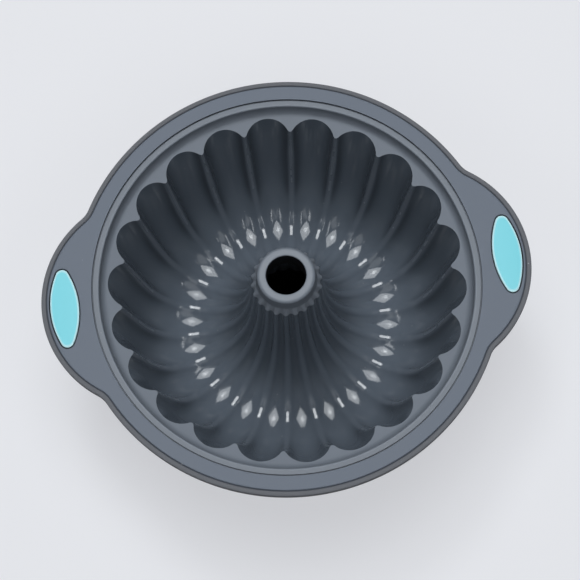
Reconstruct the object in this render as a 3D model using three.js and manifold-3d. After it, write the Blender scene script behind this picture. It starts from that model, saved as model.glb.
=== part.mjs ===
// Silicone fluted tube pan: a ring-cake mould with a hollow tube in the middle, a flat rim with an ear
// on each side, a steel hoop inside the border of the rim and a coloured grip in each ear.
// Millimetres, +Z up. The table is z = 0, the tube stands on the Z axis and the ears lie along X.

import * as THREE from 'three';
import { mergeVertices } from 'three/addons/utils/BufferGeometryUtils.js';
import loadManifold from 'manifold-3d';

const wasm = await loadManifold();
wasm.setup();

// Driving dimensions of the mould cavity. Depths are measured down from the flat top of the rim.
const FLUTE_COUNT = 22;
const MOUTH_RADIUS = 113;
const TROUGH_DEPTH = 97; // lowest point of the ridge's curve, before the floor is flattened
const FLOOR_RADIUS = 63; // where the ridges are lowest
const FLUTE_DEPTH_RATIO = 0.28; // depth of a flute over its width
const CURVE_FULLNESS = 0.56; // handle length over span of the ridge's curves, 0.55 being an ellipse
const FLOOR_FULLNESS = 0.72; // the same at the floor
const FLOOR_FLATTENING = 0.5; // share of the flutes' depth that the ridges lose at the floor
const FLOOR_REACH = 0.45; // how far that goes up the ridge, in the ridge's parameter
const TUBE_LEAN = 2.7; // how far the tube's wall leans out over its curve handle
const WALL_LEAN = 8; // the same for the outer wall
const WALL = 2.4;
const FOOT_CUT = 0.8; // cut off the underside of each flute, so that the pan stands flat

// Driving dimensions of the tube's top
const BORE_RADIUS = 12;
const COLLAR_WALL = 5.5;
const COLLAR_FLARE = 0.8; // how much wider the collar is at its foot
const COLLAR_RISE = 13; // collar top above the rim
const COLLAR_FOOT_RISE = 2.5; // foot of the collar above the rim
const COLLAR_ROUND = 2; // rounding of the collar's top edges
const SHOULDER_DEPTH = 1.5; // lower edge of the skirt under the collar, where the tube's flutes start
const SHOULDER_WIDTH = 3.4; // how far the skirt stands out past the collar's foot

// Driving dimensions of the ledge over the flutes and of the lip
const LIP_DROP = 0.8; // lip band below the rim's top
const LIP_BAND = 4; // width of the lip band, from the mouth to the seam
const LIP_THICKNESS = 2.8;
const COVE_WIDTH = 3.4; // from the mouth in to the ledge
const LEDGE_DEPTH = 8.5; // outer edge of the ledge
const LEDGE_SLOPE = 0.5; // fall of the ledge towards the flutes, over its width
const SCALLOP_MARGIN = 0.6; // from the ledge's outer edge to the flutes' round ends
const LEDGE_LIFT_START = 1.6; // place on the ridge from which the flute's middle rises to the ledge

// Driving dimensions of the rim, its border and the hoop inside it
const FLANGE_WIDTH = 12.5; // from the seam to the rim's outline
const FLANGE_THICKNESS = 4;
const TONGUE_THICKNESS = 1.2;
const TONGUE_MARGIN = 1.8; // from the tongue's slot to the border
const HOOP_WIRE = 2.5;
const BORDER_OUTER_WALL = 1;
const BORDER_INNER_WALL = 0.6;
const BORDER_COVER = 1.7; // material over the hoop's channel
const BORDER_FLOOR = 1.6; // material under the hoop's channel
const BORDER_ROUND = 1.1;
const GROOVE_INSET = 3.2; // decorative groove inside the outline
const GROOVE_HALF_WIDTH = 0.7;
const GROOVE_DEPTH = 0.8;
const PIN_HOLE_RADIUS = 0.9; // holes left under the border by the pins that held the hoop
const PIN_HOLE_COUNT = 8;

// Driving dimensions of the ears and their grips
const EAR_ARC_RADIUS = 67;
const EAR_FILLET_RADIUS = 16;
const GRIP_LENGTH = 48.5;
const GRIP_WIDTH = 17.2;
const GRIP_TIP_RADIUS = 4;
const GRIP_LENS = 1.3; // thickness of the grip's upper and lower faces
const GRIP_WAIST_INSET = 1.6; // how far the waist between those faces is drawn in
const GRIP_PROUD = 0.3; // the faces stand this far out of the ear
const GRIP_EDGE = 0.5; // rounding of the faces
const GRIP_MARGIN = 0.7; // from the border to the grip
const GRIP_SLOT_MARGIN = 2.4; // from the tongue's slot to the grip

const CLEARANCE = 0.3; // gap between pieces that fit into each other

// Facets
const STEPS_PER_FLUTE = 4;
const RIM_ARC_STEPS = 22;
const FILLET_STEPS = 3;
const EAR_ARC_STEPS = 12;
const HOOP_SIDES = 6;
const PIN_HOLE_SIDES = 8;
const COVE_STEPS = 3;
const GRIP_ARC_STEPS = 10;
const GRIP_TIP_STEPS = 6;

// Sizes that follow from the driving dimensions
const TAU = 2 * Math.PI;
const fluteWidthAt = (radius) => (TAU * radius) / FLUTE_COUNT;
const fluteDepthAt = (radius) => FLUTE_DEPTH_RATIO * fluteWidthAt(radius);
const RIM_Z = TROUGH_DEPTH + fluteDepthAt(FLOOR_RADIUS) + WALL - FOOT_CUT;

const COLLAR_RADIUS = BORE_RADIUS + COLLAR_WALL;
const COLLAR_FOOT_RADIUS = COLLAR_RADIUS + COLLAR_FLARE;
const COLLAR_TOP_Z = RIM_Z + COLLAR_RISE;
const SHOULDER_Z = RIM_Z - SHOULDER_DEPTH;
const SHOULDER_RADIUS = COLLAR_FOOT_RADIUS + SHOULDER_WIDTH;

const LIP_Z = RIM_Z - LIP_DROP;
const LEDGE_RADIUS = MOUTH_RADIUS - COVE_WIDTH;
const LEDGE_Z = RIM_Z - LEDGE_DEPTH;
const ledgeZAt = (radius) => LEDGE_Z - LEDGE_SLOPE * (LEDGE_RADIUS - radius);
const RIDGE_TIP_RADIUS = (LEDGE_RADIUS - SCALLOP_MARGIN) / (1 + fluteDepthAt(1));

const SEAM_RADIUS = MOUTH_RADIUS + LIP_BAND;
const RIM_RADIUS = SEAM_RADIUS + FLANGE_WIDTH;
const CHANNEL_RADIUS = HOOP_WIRE / 2 + CLEARANCE;
const BORDER_WIDTH = BORDER_OUTER_WALL + 2 * CHANNEL_RADIUS + BORDER_INNER_WALL;
const BORDER_HEIGHT = BORDER_COVER + 2 * CHANNEL_RADIUS + BORDER_FLOOR;
const HOOP_INSET = BORDER_OUTER_WALL + CHANNEL_RADIUS;
const HOOP_Z = RIM_Z - BORDER_COVER - CHANNEL_RADIUS;
const TONGUE_RADIUS = RIM_RADIUS - BORDER_WIDTH - TONGUE_MARGIN - CLEARANCE;
const TONGUE_TOP_Z = RIM_Z - (FLANGE_THICKNESS - TONGUE_THICKNESS) / 2;
const TONGUE_BOTTOM_Z = TONGUE_TOP_Z - TONGUE_THICKNESS;
const SLOT_RADIUS = TONGUE_RADIUS + CLEARANCE;
const FLANGE_BOTTOM_Z = RIM_Z - FLANGE_THICKNESS;

const GRIP_OUTER_MARGIN = BORDER_WIDTH + GRIP_MARGIN;
const GRIP_CENTRE_X = SLOT_RADIUS + GRIP_SLOT_MARGIN + GRIP_WIDTH / 2;
const EAR_TIP_X = GRIP_CENTRE_X + GRIP_WIDTH / 2 + GRIP_OUTER_MARGIN;
const EAR_ARC_X = EAR_TIP_X - EAR_ARC_RADIUS;

// Materials
const greySilicone = new THREE.MeshStandardMaterial({ color: 0x636b74, roughness: 0.5, metalness: 0 });
const rimSilicone = new THREE.MeshStandardMaterial({ color: 0x6e7581, roughness: 0.6, metalness: 0 });
const tealSilicone = new THREE.MeshStandardMaterial({ color: 0x83d5e0, roughness: 0.55, metalness: 0 });
const steelWire = new THREE.MeshStandardMaterial({ color: 0xb9bcc0, roughness: 0.3, metalness: 1 });

// Mesh helpers

// Turns every face the other way if the closed mesh is inside out.
function facingOut(positions, triangles) {
  const corner = (i) => new THREE.Vector3().fromArray(positions, 3 * i);
  let volume = 0;
  for (let i = 0; i < triangles.length; i += 3) {
    const [a, b, c] = [corner(triangles[i]), corner(triangles[i + 1]), corner(triangles[i + 2])];
    volume += a.dot(b.cross(c));
  }
  const ordered = volume > 0 ? triangles : triangles.slice().reverse();
  const geometry = new THREE.BufferGeometry();
  geometry.setAttribute('position', new THREE.Float32BufferAttribute(positions, 3));
  geometry.setIndex(ordered);
  return geometry;
}

// Joins columns of points into a ring: each column is a closed section, and the last meets the first.
function ringGeometry(columns) {
  const rows = columns[0].length;
  const positions = columns.flat().flatMap((point) => point.toArray());
  const triangles = [];
  for (let i = 0; i < columns.length; i++) {
    const next = (i + 1) % columns.length;
    for (let j = 0; j < rows; j++) {
      const up = (j + 1) % rows;
      const [a, b, c, d] = [i * rows + j, next * rows + j, next * rows + up, i * rows + up];
      triangles.push(a, b, c, a, c, d);
    }
  }
  return facingOut(positions, triangles);
}

// Joins closed rings of points, one over the other, and closes both ends with a fan of triangles.
function stackGeometry(rings) {
  const count = rings[0].length;
  const centreOf = (ring) => ring.reduce((sum, p) => sum.add(p), new THREE.Vector3()).divideScalar(count);
  const points = [...rings.flat(), centreOf(rings[0]), centreOf(rings.at(-1))];
  const [bottomCentre, topCentre] = [points.length - 2, points.length - 1];
  const topRing = (rings.length - 1) * count;
  const triangles = [];
  for (let i = 0; i < count; i++) {
    const next = (i + 1) % count;
    for (let j = 0; j < rings.length - 1; j++) {
      const [a, b] = [j * count + i, j * count + next];
      triangles.push(a, b, b + count, a, b + count, a + count);
    }
    triangles.push(bottomCentre, next, i, topCentre, topRing + i, topRing + next);
  }
  return facingOut(points.flatMap((point) => point.toArray()), triangles);
}

function toSolid(geometry) {
  const bare = geometry.clone();
  bare.deleteAttribute('normal');
  bare.deleteAttribute('uv');
  const merged = mergeVertices(bare);
  return new wasm.Manifold(new wasm.Mesh({
    numProp: 3,
    vertProperties: new Float32Array(merged.attributes.position.array),
    triVerts: new Uint32Array(merged.index.array),
  }));
}

function toGeometry(solid) {
  const mesh = solid.getMesh();
  const geometry = new THREE.BufferGeometry();
  geometry.setAttribute('position', new THREE.Float32BufferAttribute(mesh.vertProperties, 3));
  geometry.setIndex(Array.from(mesh.triVerts));
  return geometry;
}

function piece(name, geometry, material) {
  geometry.computeVertexNormals();
  const mesh = new THREE.Mesh(geometry, material);
  mesh.name = name;
  return mesh;
}

// Fluted shell

// The ridge between two flutes runs down the tube, over the floor and up to the ledge, in two curves.
// Its parameter is 0 at the tube's shoulder, 1 at the floor and 2 at the ledge.
const FLOOR_Z = RIM_Z - TROUGH_DEPTH;
const RIDGE_TIP_Z = ledgeZAt(RIDGE_TIP_RADIUS);
const tubeRidge = new THREE.CubicBezierCurve(
  new THREE.Vector2(SHOULDER_RADIUS, SHOULDER_Z),
  new THREE.Vector2(SHOULDER_RADIUS + TUBE_LEAN, SHOULDER_Z - CURVE_FULLNESS * (SHOULDER_Z - FLOOR_Z)),
  new THREE.Vector2(FLOOR_RADIUS - FLOOR_FULLNESS * (FLOOR_RADIUS - SHOULDER_RADIUS), FLOOR_Z),
  new THREE.Vector2(FLOOR_RADIUS, FLOOR_Z),
);
const wallRidge = new THREE.CubicBezierCurve(
  new THREE.Vector2(FLOOR_RADIUS, FLOOR_Z),
  new THREE.Vector2(FLOOR_RADIUS + FLOOR_FULLNESS * (RIDGE_TIP_RADIUS - FLOOR_RADIUS), FLOOR_Z),
  new THREE.Vector2(RIDGE_TIP_RADIUS - WALL_LEAN, RIDGE_TIP_Z - CURVE_FULLNESS * (RIDGE_TIP_Z - FLOOR_Z)),
  new THREE.Vector2(RIDGE_TIP_RADIUS, RIDGE_TIP_Z),
);

function ridgeAt(t) {
  return t <= 1 ? tubeRidge.getPoint(t) : wallRidge.getPoint(t - 1);
}

// Direction from the cavity into the wall, square to the ridge
function intoWallAt(t) {
  const along = t <= 1 ? tubeRidge.getTangent(t) : wallRidge.getTangent(t - 1);
  return new THREE.Vector2(along.y, -along.x);
}

// Height of a circular arc over its chord, at u from -1 to 1 along the chord, as a share of its sagitta.
function archRise(u, sagittaOverHalfChord) {
  const s = sagittaOverHalfChord;
  const radius = (1 + s * s) / (2 * s);
  return (Math.sqrt(radius * radius - u * u) - (radius - s)) / s;
}

// A row of the shell's section is given at the ridge and in the middle of the flute. In between it
// follows an arch. A plain row is the same all the way round.
function plainRow(radius, z) {
  const point = new THREE.Vector2(radius, z);
  return { ridge: point, flute: point, arch: 1 };
}

// Share of its full depth that a flute keeps, less near the floor
function depthShareAt(t) {
  return 1 - FLOOR_FLATTENING * Math.exp(-(((t - 1) / FLOOR_REACH) ** 2));
}

function cavityRow(t) {
  const ridge = ridgeAt(t);
  const depth = fluteDepthAt(ridge.x);
  const share = depthShareAt(t);
  const flute = ridge.clone().addScaledVector(intoWallAt(t), depth);
  ridge.addScaledVector(intoWallAt(t), (1 - share) * depth);
  const endX = RIDGE_TIP_RADIUS + fluteDepthAt(RIDGE_TIP_RADIUS) * intoWallAt(2).x;
  const endY = RIDGE_TIP_Z + fluteDepthAt(RIDGE_TIP_RADIUS) * intoWallAt(2).y;
  flute.y += (ledgeZAt(endX) - endY) * THREE.MathUtils.smoothstep(t, LEDGE_LIFT_START, 2);
  return { ridge, flute, arch: 2 * FLUTE_DEPTH_RATIO * share };
}

// The underside keeps the wall's thickness: its arches have the cavity's centres and a larger radius.
function outsideArch(radius, share) {
  const halfChord = fluteWidthAt(radius) / 2;
  const depth = share * fluteDepthAt(radius);
  const outerRadius = (halfChord ** 2 + depth ** 2) / (2 * depth) + WALL;
  return { halfChord, sagitta: outerRadius - Math.sqrt(outerRadius ** 2 - halfChord ** 2) };
}

function undersideRow(t) {
  const ridge = ridgeAt(t);
  const normal = intoWallAt(t);
  const { halfChord, sagitta } = outsideArch(ridge.x, depthShareAt(t));
  const flute = ridge.clone().addScaledVector(normal, fluteDepthAt(ridge.x) + WALL);
  return { ridge: flute.clone().addScaledVector(normal, -sagitta), flute, arch: sagitta / halfChord };
}

// Top end of the underside's lobes, under the ledge
function underLedgeRow() {
  const { halfChord, sagitta } = outsideArch(RIDGE_TIP_RADIUS, 1);
  const fluteRadius = RIDGE_TIP_RADIUS + fluteDepthAt(RIDGE_TIP_RADIUS) + WALL;
  const thickness = WALL * Math.hypot(1, LEDGE_SLOPE);
  const under = (radius) => new THREE.Vector2(radius, ledgeZAt(radius) - thickness);
  return { ridge: under(fluteRadius - sagitta), flute: under(fluteRadius), arch: sagitta / halfChord };
}

// A quarter of an ellipse from a ledge, where it lies level, up to a lip, where it stands upright
function coveRows(ledgeRadius, ledgeZ, lipRadius, lipZ) {
  const rows = [];
  for (let i = 0; i <= COVE_STEPS; i++) {
    const angle = (i / COVE_STEPS) * (Math.PI / 2);
    const radius = ledgeRadius + (lipRadius - ledgeRadius) * Math.sin(angle);
    rows.push(plainRow(radius, lipZ - (lipZ - ledgeZ) * Math.cos(angle)));
  }
  return rows;
}

// The closed section of the shell: collar, cavity, ledge, lip, tongue, then back along the underside
function shellSection() {
  const cavitySteps = [0, 0.18, 0.38, 0.58, 0.8, 1, 1.2, 1.4, 1.6, 1.8, 2];
  const undersideSteps = [1.8, 1.6, 1.4, 1.2, 1.1, 1.03, 0.95, 0.8, 0.58, 0.3, 0.03];
  const lipBottomZ = LIP_Z - LIP_THICKNESS;
  const outerCove = coveRows(LEDGE_RADIUS + WALL, LEDGE_Z - WALL / 2, MOUTH_RADIUS + WALL, lipBottomZ);
  return [
    plainRow(BORE_RADIUS, COLLAR_TOP_Z - COLLAR_ROUND),
    plainRow(BORE_RADIUS + COLLAR_ROUND, COLLAR_TOP_Z),
    plainRow(COLLAR_RADIUS - COLLAR_ROUND, COLLAR_TOP_Z),
    plainRow(COLLAR_RADIUS, COLLAR_TOP_Z - COLLAR_ROUND),
    plainRow(COLLAR_FOOT_RADIUS, RIM_Z + COLLAR_FOOT_RISE),
    ...cavitySteps.map(cavityRow),
    ...coveRows(LEDGE_RADIUS, LEDGE_Z, MOUTH_RADIUS, LIP_Z),
    plainRow(SEAM_RADIUS, LIP_Z),
    plainRow(SEAM_RADIUS, TONGUE_TOP_Z),
    plainRow(TONGUE_RADIUS, TONGUE_TOP_Z),
    plainRow(TONGUE_RADIUS, TONGUE_BOTTOM_Z),
    plainRow(SEAM_RADIUS, TONGUE_BOTTOM_Z),
    plainRow(SEAM_RADIUS, lipBottomZ),
    ...outerCove.reverse(),
    underLedgeRow(),
    ...undersideSteps.map(undersideRow),
    plainRow(BORE_RADIUS, SHOULDER_Z - WALL),
  ];
}

function shellGeometry() {
  const section = shellSection();
  const columns = [];
  for (let i = 0; i < FLUTE_COUNT * STEPS_PER_FLUTE; i++) {
    const angle = (TAU * i) / (FLUTE_COUNT * STEPS_PER_FLUTE);
    const u = (2 * (i % STEPS_PER_FLUTE)) / STEPS_PER_FLUTE - 1;
    columns.push(section.map(({ ridge, flute, arch }) => {
      const point = ridge.clone().lerp(flute, archRise(u, arch));
      return new THREE.Vector3(point.x * Math.cos(angle), point.x * Math.sin(angle), Math.max(point.y, 0));
    }));
  }
  return ringGeometry(columns);
}

// Rim

// Points along an arc, each with its direction out of the rim. A hollow arc bends the other way.
function arcStations(centre, radius, from, to, steps, hollow = false) {
  const stations = [];
  for (let i = 0; i < steps; i++) {
    const angle = from + ((to - from) * i) / steps;
    const ray = new THREE.Vector2(Math.cos(angle), Math.sin(angle));
    stations.push({
      point: centre.clone().addScaledVector(ray, radius),
      out: hollow ? ray.clone().negate() : ray,
    });
  }
  return stations;
}

// The rim's outline, once round from the right ear: ear arc, hollow fillet, rim arc, and so on
function outlineStations() {
  const middle = new THREE.Vector2(0, 0);
  const toFillet = RIM_RADIUS + EAR_FILLET_RADIUS;
  const earToFillet = EAR_ARC_RADIUS + EAR_FILLET_RADIUS;
  const filletX = (toFillet ** 2 - earToFillet ** 2 + EAR_ARC_X ** 2) / (2 * EAR_ARC_X);
  const filletY = Math.sqrt(toFillet ** 2 - filletX ** 2);
  const rimEnd = Math.atan2(filletY, filletX);
  const earEnd = Math.atan2(filletY, filletX - EAR_ARC_X);
  const half = [
    ...arcStations(new THREE.Vector2(EAR_ARC_X, 0), EAR_ARC_RADIUS, -earEnd, earEnd, EAR_ARC_STEPS),
    ...arcStations(new THREE.Vector2(filletX, filletY), EAR_FILLET_RADIUS,
      earEnd + Math.PI, rimEnd + Math.PI, FILLET_STEPS, true),
    ...arcStations(middle, RIM_RADIUS, rimEnd, Math.PI - rimEnd, RIM_ARC_STEPS),
    ...arcStations(new THREE.Vector2(-filletX, filletY), EAR_FILLET_RADIUS,
      -rimEnd, -earEnd, FILLET_STEPS, true),
  ];
  const otherHalf = half.map(({ point, out }) => ({
    point: point.clone().negate(),
    out: out.clone().negate(),
  }));
  return [...half, ...otherHalf];
}

const stations = outlineStations();

function insideOutline({ point, out }, inset, z) {
  return new THREE.Vector3(point.x - inset * out.x, point.y - inset * out.y, z);
}

function onCircle({ point }, radius, z) {
  const ray = point.clone().setLength(radius);
  return new THREE.Vector3(ray.x, ray.y, z);
}

// Rim section: flat top, groove, rounded border, flat underside, and the slot that holds the tongue
function rimColumn(station) {
  const borderBottomZ = RIM_Z - BORDER_HEIGHT;
  const innerRadius = SEAM_RADIUS + CLEARANCE;
  return [
    onCircle(station, innerRadius, RIM_Z),
    insideOutline(station, GROOVE_INSET + GROOVE_HALF_WIDTH, RIM_Z),
    insideOutline(station, GROOVE_INSET, RIM_Z - GROOVE_DEPTH),
    insideOutline(station, GROOVE_INSET - GROOVE_HALF_WIDTH, RIM_Z),
    insideOutline(station, BORDER_ROUND, RIM_Z),
    insideOutline(station, 0, RIM_Z - BORDER_ROUND),
    insideOutline(station, 0, borderBottomZ + BORDER_ROUND),
    insideOutline(station, BORDER_ROUND, borderBottomZ),
    insideOutline(station, BORDER_WIDTH, borderBottomZ),
    insideOutline(station, BORDER_WIDTH, FLANGE_BOTTOM_Z),
    onCircle(station, innerRadius, FLANGE_BOTTOM_Z),
    onCircle(station, innerRadius, TONGUE_BOTTOM_Z - CLEARANCE),
    onCircle(station, SLOT_RADIUS, TONGUE_BOTTOM_Z - CLEARANCE),
    onCircle(station, SLOT_RADIUS, TONGUE_TOP_Z + CLEARANCE),
    onCircle(station, innerRadius, TONGUE_TOP_Z + CLEARANCE),
  ];
}

// A round section of the given radius, carried along the hoop's path
function hoopGeometry(radius) {
  return ringGeometry(stations.map((station) => {
    const section = [];
    for (let i = 0; i < HOOP_SIDES; i++) {
      const angle = (TAU * i) / HOOP_SIDES;
      const inset = HOOP_INSET + radius * Math.cos(angle);
      section.push(insideOutline(station, inset, HOOP_Z + radius * Math.sin(angle)));
    }
    return section;
  }));
}

function pinHoleGeometry(index) {
  const station = stations[Math.round(((index + 0.5) * stations.length) / PIN_HOLE_COUNT)];
  const below = RIM_Z - BORDER_HEIGHT - CLEARANCE;
  const place = insideOutline(station, HOOP_INSET, (below + HOOP_Z) / 2);
  const height = HOOP_Z - below;
  const cylinder = new THREE.CylinderGeometry(PIN_HOLE_RADIUS, PIN_HOLE_RADIUS, height, PIN_HOLE_SIDES);
  return cylinder.rotateX(Math.PI / 2).translate(place.x, place.y, place.z);
}

// Grips

// Lens with round tips, drawn in by an inset: two long arcs along Y that meet the tips smoothly
function lensRing(inset, z) {
  const halfWidth = GRIP_WIDTH / 2;
  const tipRadius = GRIP_TIP_RADIUS;
  const tipY = GRIP_LENGTH / 2 - tipRadius;
  const sideRadius = (halfWidth ** 2 + tipY ** 2 - tipRadius ** 2) / (2 * (halfWidth - tipRadius));
  const sideX = sideRadius - halfWidth;
  const turn = Math.atan2(tipY, sideX);
  const half = [
    ...arcStations(new THREE.Vector2(-sideX, 0), sideRadius, -turn, turn, GRIP_ARC_STEPS),
    ...arcStations(new THREE.Vector2(0, tipY), tipRadius, turn, Math.PI - turn, GRIP_TIP_STEPS),
  ].map((station) => insideOutline(station, inset, z));
  return [...half, ...half.map((point) => new THREE.Vector3(-point.x, -point.y, point.z))];
}

const GRIP_TOP_Z = RIM_Z + GRIP_PROUD;
const GRIP_BOTTOM_Z = FLANGE_BOTTOM_Z - GRIP_PROUD;
const WAIST_TOP_Z = GRIP_TOP_Z - GRIP_PROUD - GRIP_LENS;
const WAIST_BOTTOM_Z = GRIP_BOTTOM_Z + GRIP_PROUD + GRIP_LENS;

// Two lens-shaped faces joined by a waist
function gripGeometry() {
  return stackGeometry([
    lensRing(GRIP_EDGE, GRIP_BOTTOM_Z),
    lensRing(0, GRIP_BOTTOM_Z + GRIP_EDGE),
    lensRing(0, WAIST_BOTTOM_Z),
    lensRing(GRIP_WAIST_INSET, WAIST_BOTTOM_Z),
    lensRing(GRIP_WAIST_INSET, WAIST_TOP_Z),
    lensRing(0, WAIST_TOP_Z),
    lensRing(0, GRIP_TOP_Z - GRIP_EDGE),
    lensRing(GRIP_EDGE, GRIP_TOP_Z),
  ]);
}

// The opening in the ear, with the lip that sits in the grip's waist
function gripOpeningGeometry() {
  const lipBottomZ = WAIST_BOTTOM_Z + CLEARANCE;
  const lipTopZ = WAIST_TOP_Z - CLEARANCE;
  return stackGeometry([
    lensRing(-CLEARANCE, GRIP_BOTTOM_Z - CLEARANCE),
    lensRing(-CLEARANCE, lipBottomZ),
    lensRing(GRIP_WAIST_INSET - CLEARANCE, lipBottomZ),
    lensRing(GRIP_WAIST_INSET - CLEARANCE, lipTopZ),
    lensRing(-CLEARANCE, lipTopZ),
    lensRing(-CLEARANCE, GRIP_TOP_Z + CLEARANCE),
  ]);
}

function rimGeometry() {
  let rim = toSolid(ringGeometry(stations.map(rimColumn)));
  rim = rim.subtract(toSolid(hoopGeometry(CHANNEL_RADIUS)));
  for (let i = 0; i < PIN_HOLE_COUNT; i++) {
    rim = rim.subtract(toSolid(pinHoleGeometry(i)));
  }
  for (const side of [-1, 1]) {
    rim = rim.subtract(toSolid(gripOpeningGeometry().translate(side * GRIP_CENTRE_X, 0, 0)));
  }
  return toGeometry(rim);
}

// The pan
const pan = new THREE.Group();
pan.add(piece('fluted_shell', shellGeometry(), greySilicone));
pan.add(piece('rim_flange', rimGeometry(), rimSilicone));
pan.add(piece('rim_hoop', hoopGeometry(HOOP_WIRE / 2), steelWire));

for (const [name, side] of [['grip_insert_left', -1], ['grip_insert_right', 1]]) {
  const grip = piece(name, gripGeometry(), tealSilicone);
  grip.position.x = side * GRIP_CENTRE_X;
  pan.add(grip);
}

export default pan;
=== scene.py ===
"""Looks of a soft ring-cake pan: fluted shell, flat rim with two ears, hidden hoop and coloured grips.

Lengths are in millimetres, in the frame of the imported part, and become metres when a mesh is made.
"""

import math

import bpy
import numpy as np
from mathutils import Matrix, Vector


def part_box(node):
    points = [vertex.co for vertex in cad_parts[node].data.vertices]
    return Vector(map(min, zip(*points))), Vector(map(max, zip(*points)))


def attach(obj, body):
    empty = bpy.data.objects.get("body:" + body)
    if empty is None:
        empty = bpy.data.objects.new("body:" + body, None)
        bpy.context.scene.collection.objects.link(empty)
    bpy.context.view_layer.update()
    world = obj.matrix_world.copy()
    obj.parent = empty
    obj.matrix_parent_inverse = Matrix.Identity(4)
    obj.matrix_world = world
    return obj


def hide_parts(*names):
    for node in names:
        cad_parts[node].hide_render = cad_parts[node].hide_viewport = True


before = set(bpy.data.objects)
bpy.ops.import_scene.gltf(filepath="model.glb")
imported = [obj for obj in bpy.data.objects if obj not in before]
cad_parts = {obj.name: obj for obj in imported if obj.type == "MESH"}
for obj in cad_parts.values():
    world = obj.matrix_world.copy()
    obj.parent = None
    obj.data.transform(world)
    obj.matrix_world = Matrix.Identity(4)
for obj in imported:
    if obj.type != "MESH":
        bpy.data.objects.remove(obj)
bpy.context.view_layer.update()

MM = 0.001
TAU = 2.0 * math.pi


# Sizes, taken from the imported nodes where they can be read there

_, shell_high = np.array(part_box("fluted_shell")) / MM
rim_low, rim_high = np.array(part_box("rim_flange")) / MM
grip_low, grip_high = np.array(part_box("grip_insert_right")) / MM

RIM_Z = rim_high[2]
RIM_RADIUS = rim_high[1]
EAR_TIP_X = rim_high[0]
BORDER_BOTTOM_Z = rim_low[2]
COLLAR_TOP_Z = shell_high[2]
TONGUE_RADIUS = shell_high[0]
GRIP_WIDTH = grip_high[0] - grip_low[0]
GRIP_LENGTH = grip_high[1] - grip_low[1]
GRIP_CENTRE_X = (grip_high[0] + grip_low[0]) / 2
GRIP_TOP_Z = grip_high[2]
GRIP_BOTTOM_Z = grip_low[2]

FLUTE_COUNT = 22
MOUTH_RADIUS = 113.0
TROUGH_DEPTH = 97.0
FLOOR_RADIUS = 63.0
FLUTE_DEPTH_RATIO = 0.28
FLOOR_FLATTENING = 0.5
RIDGE_ROUND = 3.4
TIP_ROUND = 1.8
FLOOR_RIDGE_ROUND = 6.0
GROOVE_ROUND = 1.0
WALL_FULLNESS = 0.56
FLOOR_FULLNESS = 0.72
FLOOR_BEND = 32.0
FACET_OFFSET = 1.5
FACET_HALF_LENGTH = 7.4
FACET_HALF_WIDTH = 4.1
FACET_SINK = 0.1
FACET_FLATNESS = 0.72
FACET_TURN = 0.05
FACET_FADE = 1.2
BAR_OFFSET = 0.8
BAR_HALF_LENGTH = 3.6
BAR_HALF_WIDTH = 0.8
BAR_SINK = 0.06
BAR_FLATNESS = 0.75
BAR_FADE = 3.2
BAR_FLANK_START = 2.2
BAR_FLANK_END = 5.5
BAR_SIDE_FADE = 0.6
FLOOR_REACH = 0.45
FLOOR_ROUND_REACH = 0.25
TIP_START = 1.7
TUBE_FLATTENING = 0.12
TUBE_SHADE = 0.35
CREASE_SHADE = 0.42
# Share by which ridge crests turn towards the pale matt tone: painted light on the ridges, besides a real
# rise in roughness.
CREST_PAINTED_LIGHT_AND_MATT = 0.35
COLLAR_GLOSS = 0.3
COVE_GLOSS = 0.2
PLAIN_GLOSS = 0.1
TUBE_LEAN = 2.7
WALL_LEAN = 8.0
WALL = 2.4

BORE_RADIUS = 12.0
COLLAR_RADIUS = 17.5
COLLAR_FOOT_RADIUS = 18.3
COLLAR_FOOT_RISE = 4.0
COLLAR_ROUND = 2.0
BORE_EDGE = 0.6
SHOULDER_DEPTH = 1.5
SHOULDER_WIDTH = 3.4

LIP_DROP = 0.8
LIP_BAND = 4.0
LIP_THICKNESS = 2.8
LIP_ROUND = 1.0
SEAM_ROUND = 0.45
COVE_WIDTH = 3.4
COVE_END = math.radians(84)
LIP_SHADE = 0.14
LEDGE_DEPTH = 8.5
LEDGE_SLOPE = 0.5
SCALLOP_MARGIN = 0.6
LEDGE_LIFT_START = 1.6

FLANGE_THICKNESS = 4.0
TONGUE_THICKNESS = 1.2
HOOP_WIRE = 2.5
HOOP_INSET = 2.55
HOOP_COVER = 3.25
BORDER_WIDTH = 4.7
BORDER_ROUND = 1.1
STEP_ROUND = 0.7
STEP_TOP_ROUND = 0.5
GROOVE_INSET = 3.2
GROOVE_HALF_WIDTH = 0.7
GROOVE_DEPTH = 0.8
PIN_HOLE_RADIUS = 0.9
PIN_HOLE_COUNT = 8
EAR_ARC_RADIUS = 67.0
EAR_FILLET_RADIUS = 16.0
GRIP_TIP_RADIUS = 4.0
GRIP_WAIST_INSET = 1.6
GRIP_WAIST_DEPTH = 1.6
GRIP_EDGE = 0.6
GRIP_CROWN = 0.2
OPENING_ROUND = 0.9
CLEARANCE = 0.3
GAP_SHADE = 0.95
GROOVE_SHADE = 0.6
BORDER_SHADE = 0.5

SHELL_SHARP = 50
RIM_SHARP = 32
GRIP_SHARP = 40

SHOULDER_Z = RIM_Z - SHOULDER_DEPTH
SHOULDER_RADIUS = COLLAR_FOOT_RADIUS + SHOULDER_WIDTH
FLOOR_Z = RIM_Z - TROUGH_DEPTH
LIP_Z = RIM_Z - LIP_DROP
LEDGE_RADIUS = MOUTH_RADIUS - COVE_WIDTH
LEDGE_Z = RIM_Z - LEDGE_DEPTH
SEAM_RADIUS = MOUTH_RADIUS + LIP_BAND
TONGUE_TOP_Z = RIM_Z - (FLANGE_THICKNESS - TONGUE_THICKNESS) / 2
TONGUE_BOTTOM_Z = TONGUE_TOP_Z - TONGUE_THICKNESS
FLANGE_BOTTOM_Z = RIM_Z - FLANGE_THICKNESS
HOOP_Z = RIM_Z - HOOP_COVER
EAR_ARC_X = EAR_TIP_X - EAR_ARC_RADIUS


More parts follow.
